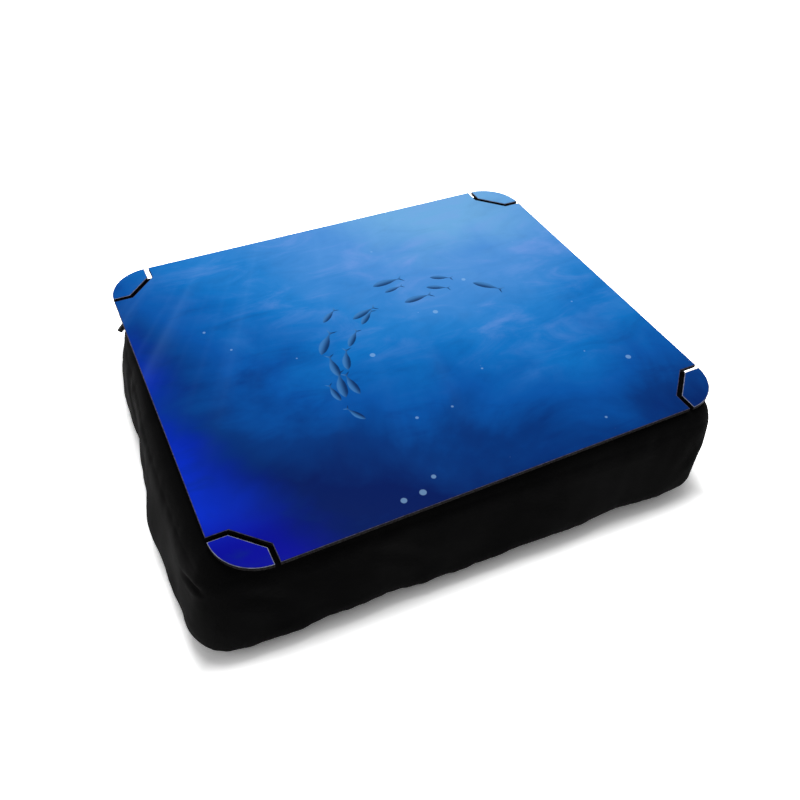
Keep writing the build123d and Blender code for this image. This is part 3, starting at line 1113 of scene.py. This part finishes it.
for end in ("front", "back"):
    tape_piece(f"loop_tape_{end}", f"loop_strip_{end}", True, 0.8 * mm, loops, loop_tape, "cushion")
    tape_piece(f"hook_tape_{end}", f"hook_strip_{end}", False, 0.6 * mm, hooks, hook_tape, "tray")
    low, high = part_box(f"loop_strip_{end}")
    inset, level = 0.8 * mm, low.z + 0.45 * mm
    spots = [
        (low.x + inset, low.y + inset, level), (high.x - inset, low.y + inset, level),
        (high.x - inset, high.y - inset, level), (low.x + inset, high.y - inset, level),
    ]
    for side, first, last in zip(("near", "right", "far", "left"), spots, spots[1:] + spots[:1]):
        stitch_row(f"loop_tape_stitch_{end}_{side}", first, last, (0, 0, 1), width=0.4 * mm)
spot_step = 0.4 * mm
for corner in corners:
    for kind, faces_up, relief, made in (("loop", True, loops, loop_tape), ("hook", False, hooks, hook_tape)):
        name, node_name = f"{kind}_spot_{corner}", f"{kind}_dot_{corner}"
        tape_piece(name, node_name, faces_up, spot_step, relief, made, "cushion", is_round=True)

# Camera at the photograph's place and angle
camera = new_object("camera", bpy.data.cameras.new("camera"))
camera.data.lens = 36.375
camera.data.sensor_width = 36.0
camera.data.sensor_fit = "HORIZONTAL"
camera.data.clip_start = 0.01
right = Vector((0.89800, -0.43897, 0.02995))
upward = Vector((0.28894, 0.63969, 0.71225))
backward = Vector((-0.33182, -0.63095, 0.70128))
stand = Matrix.Translation((-0.23363, -0.45407, 0.50989))
camera.matrix_world = stand @ Matrix((right, upward, backward)).transposed().to_4x4()
bpy.context.scene.camera = camera


# Floor, world and lamps


def floor_material():
    """A pale floor; the camera sees it lifted to white away from the cushion's foot, so only its shadow is left, and
    lifted less near the foot, a painted shade that darkens the floor round the foot.
    """
    foot_turn = math.radians(3)
    middle_x, middle_y, half_x, half_y = -0.010, -0.005, 0.203, 0.175
    made, shader, place = new_material("floor")
    pale = mixed(noise_of(place, 3.0), colour(234, 234, 234), colour(238, 238, 238))
    x, y, _ = parts_of(turned(place, foot_turn))
    across = calc("ABSOLUTE", minus(x, middle_x))
    along = calc("ABSOLUTE", minus(y, middle_y))
    away = calc("MAXIMUM", minus(across, half_x), minus(along, half_y))
    # Painted shade: the lift is smallest at the cushion's foot, so the floor there renders darker than the lamps alone
    # make it.
    lift = band(away, -0.005, 0.024, 1.25, 2.6)
    white = joined(lift, lift, lift)
    set_shader(shader, Base_Color=mixed(seen_rays(made.node_tree), pale, white), Roughness=0.9, Specular_IOR_Level=0.0)
    return made


work = bmesh.new()
bmesh.ops.create_grid(work, x_segments=8, y_segments=8, size=6)
floor = built("floor", work)
dress(floor, floor_material())
floor.location.z = -0.0004

world = bpy.data.worlds.new("world")
world.use_nodes = True
bpy.context.scene.world = world
sky = world.node_tree
sky_light = 0.42
background = sky.nodes["Background"]
background.inputs["Color"].default_value = (1, 1, 1, 1)
sky_strength = plus(times(seen_rays(sky), 1 - sky_light), sky_light)
sky.links.new(sky_strength, background.inputs["Strength"])


def lamp(name, place, aim, size, power):
    made = new_object(name, bpy.data.lights.new(name, "AREA"))
    made.data.shape = "DISK"
    made.data.size = size
    made.data.energy = power
    made.location = place
    made.rotation_euler = (Vector(aim) - Vector(place)).to_track_quat("-Z", "Y").to_euler()


lamp("key", (0.1, 0.32, 1.55), (0, 0, 0), 1.0, 14.2)
lamp("side", (-1.3, -0.1, 0.75), (0, 0, 0.04), 1.0, 1.9)
lamp("fill", (0.9, 0.3, 1.6), (0, 0, 0.03), 1.8, 0.5)

bpy.context.scene.view_settings.view_transform = "Standard"
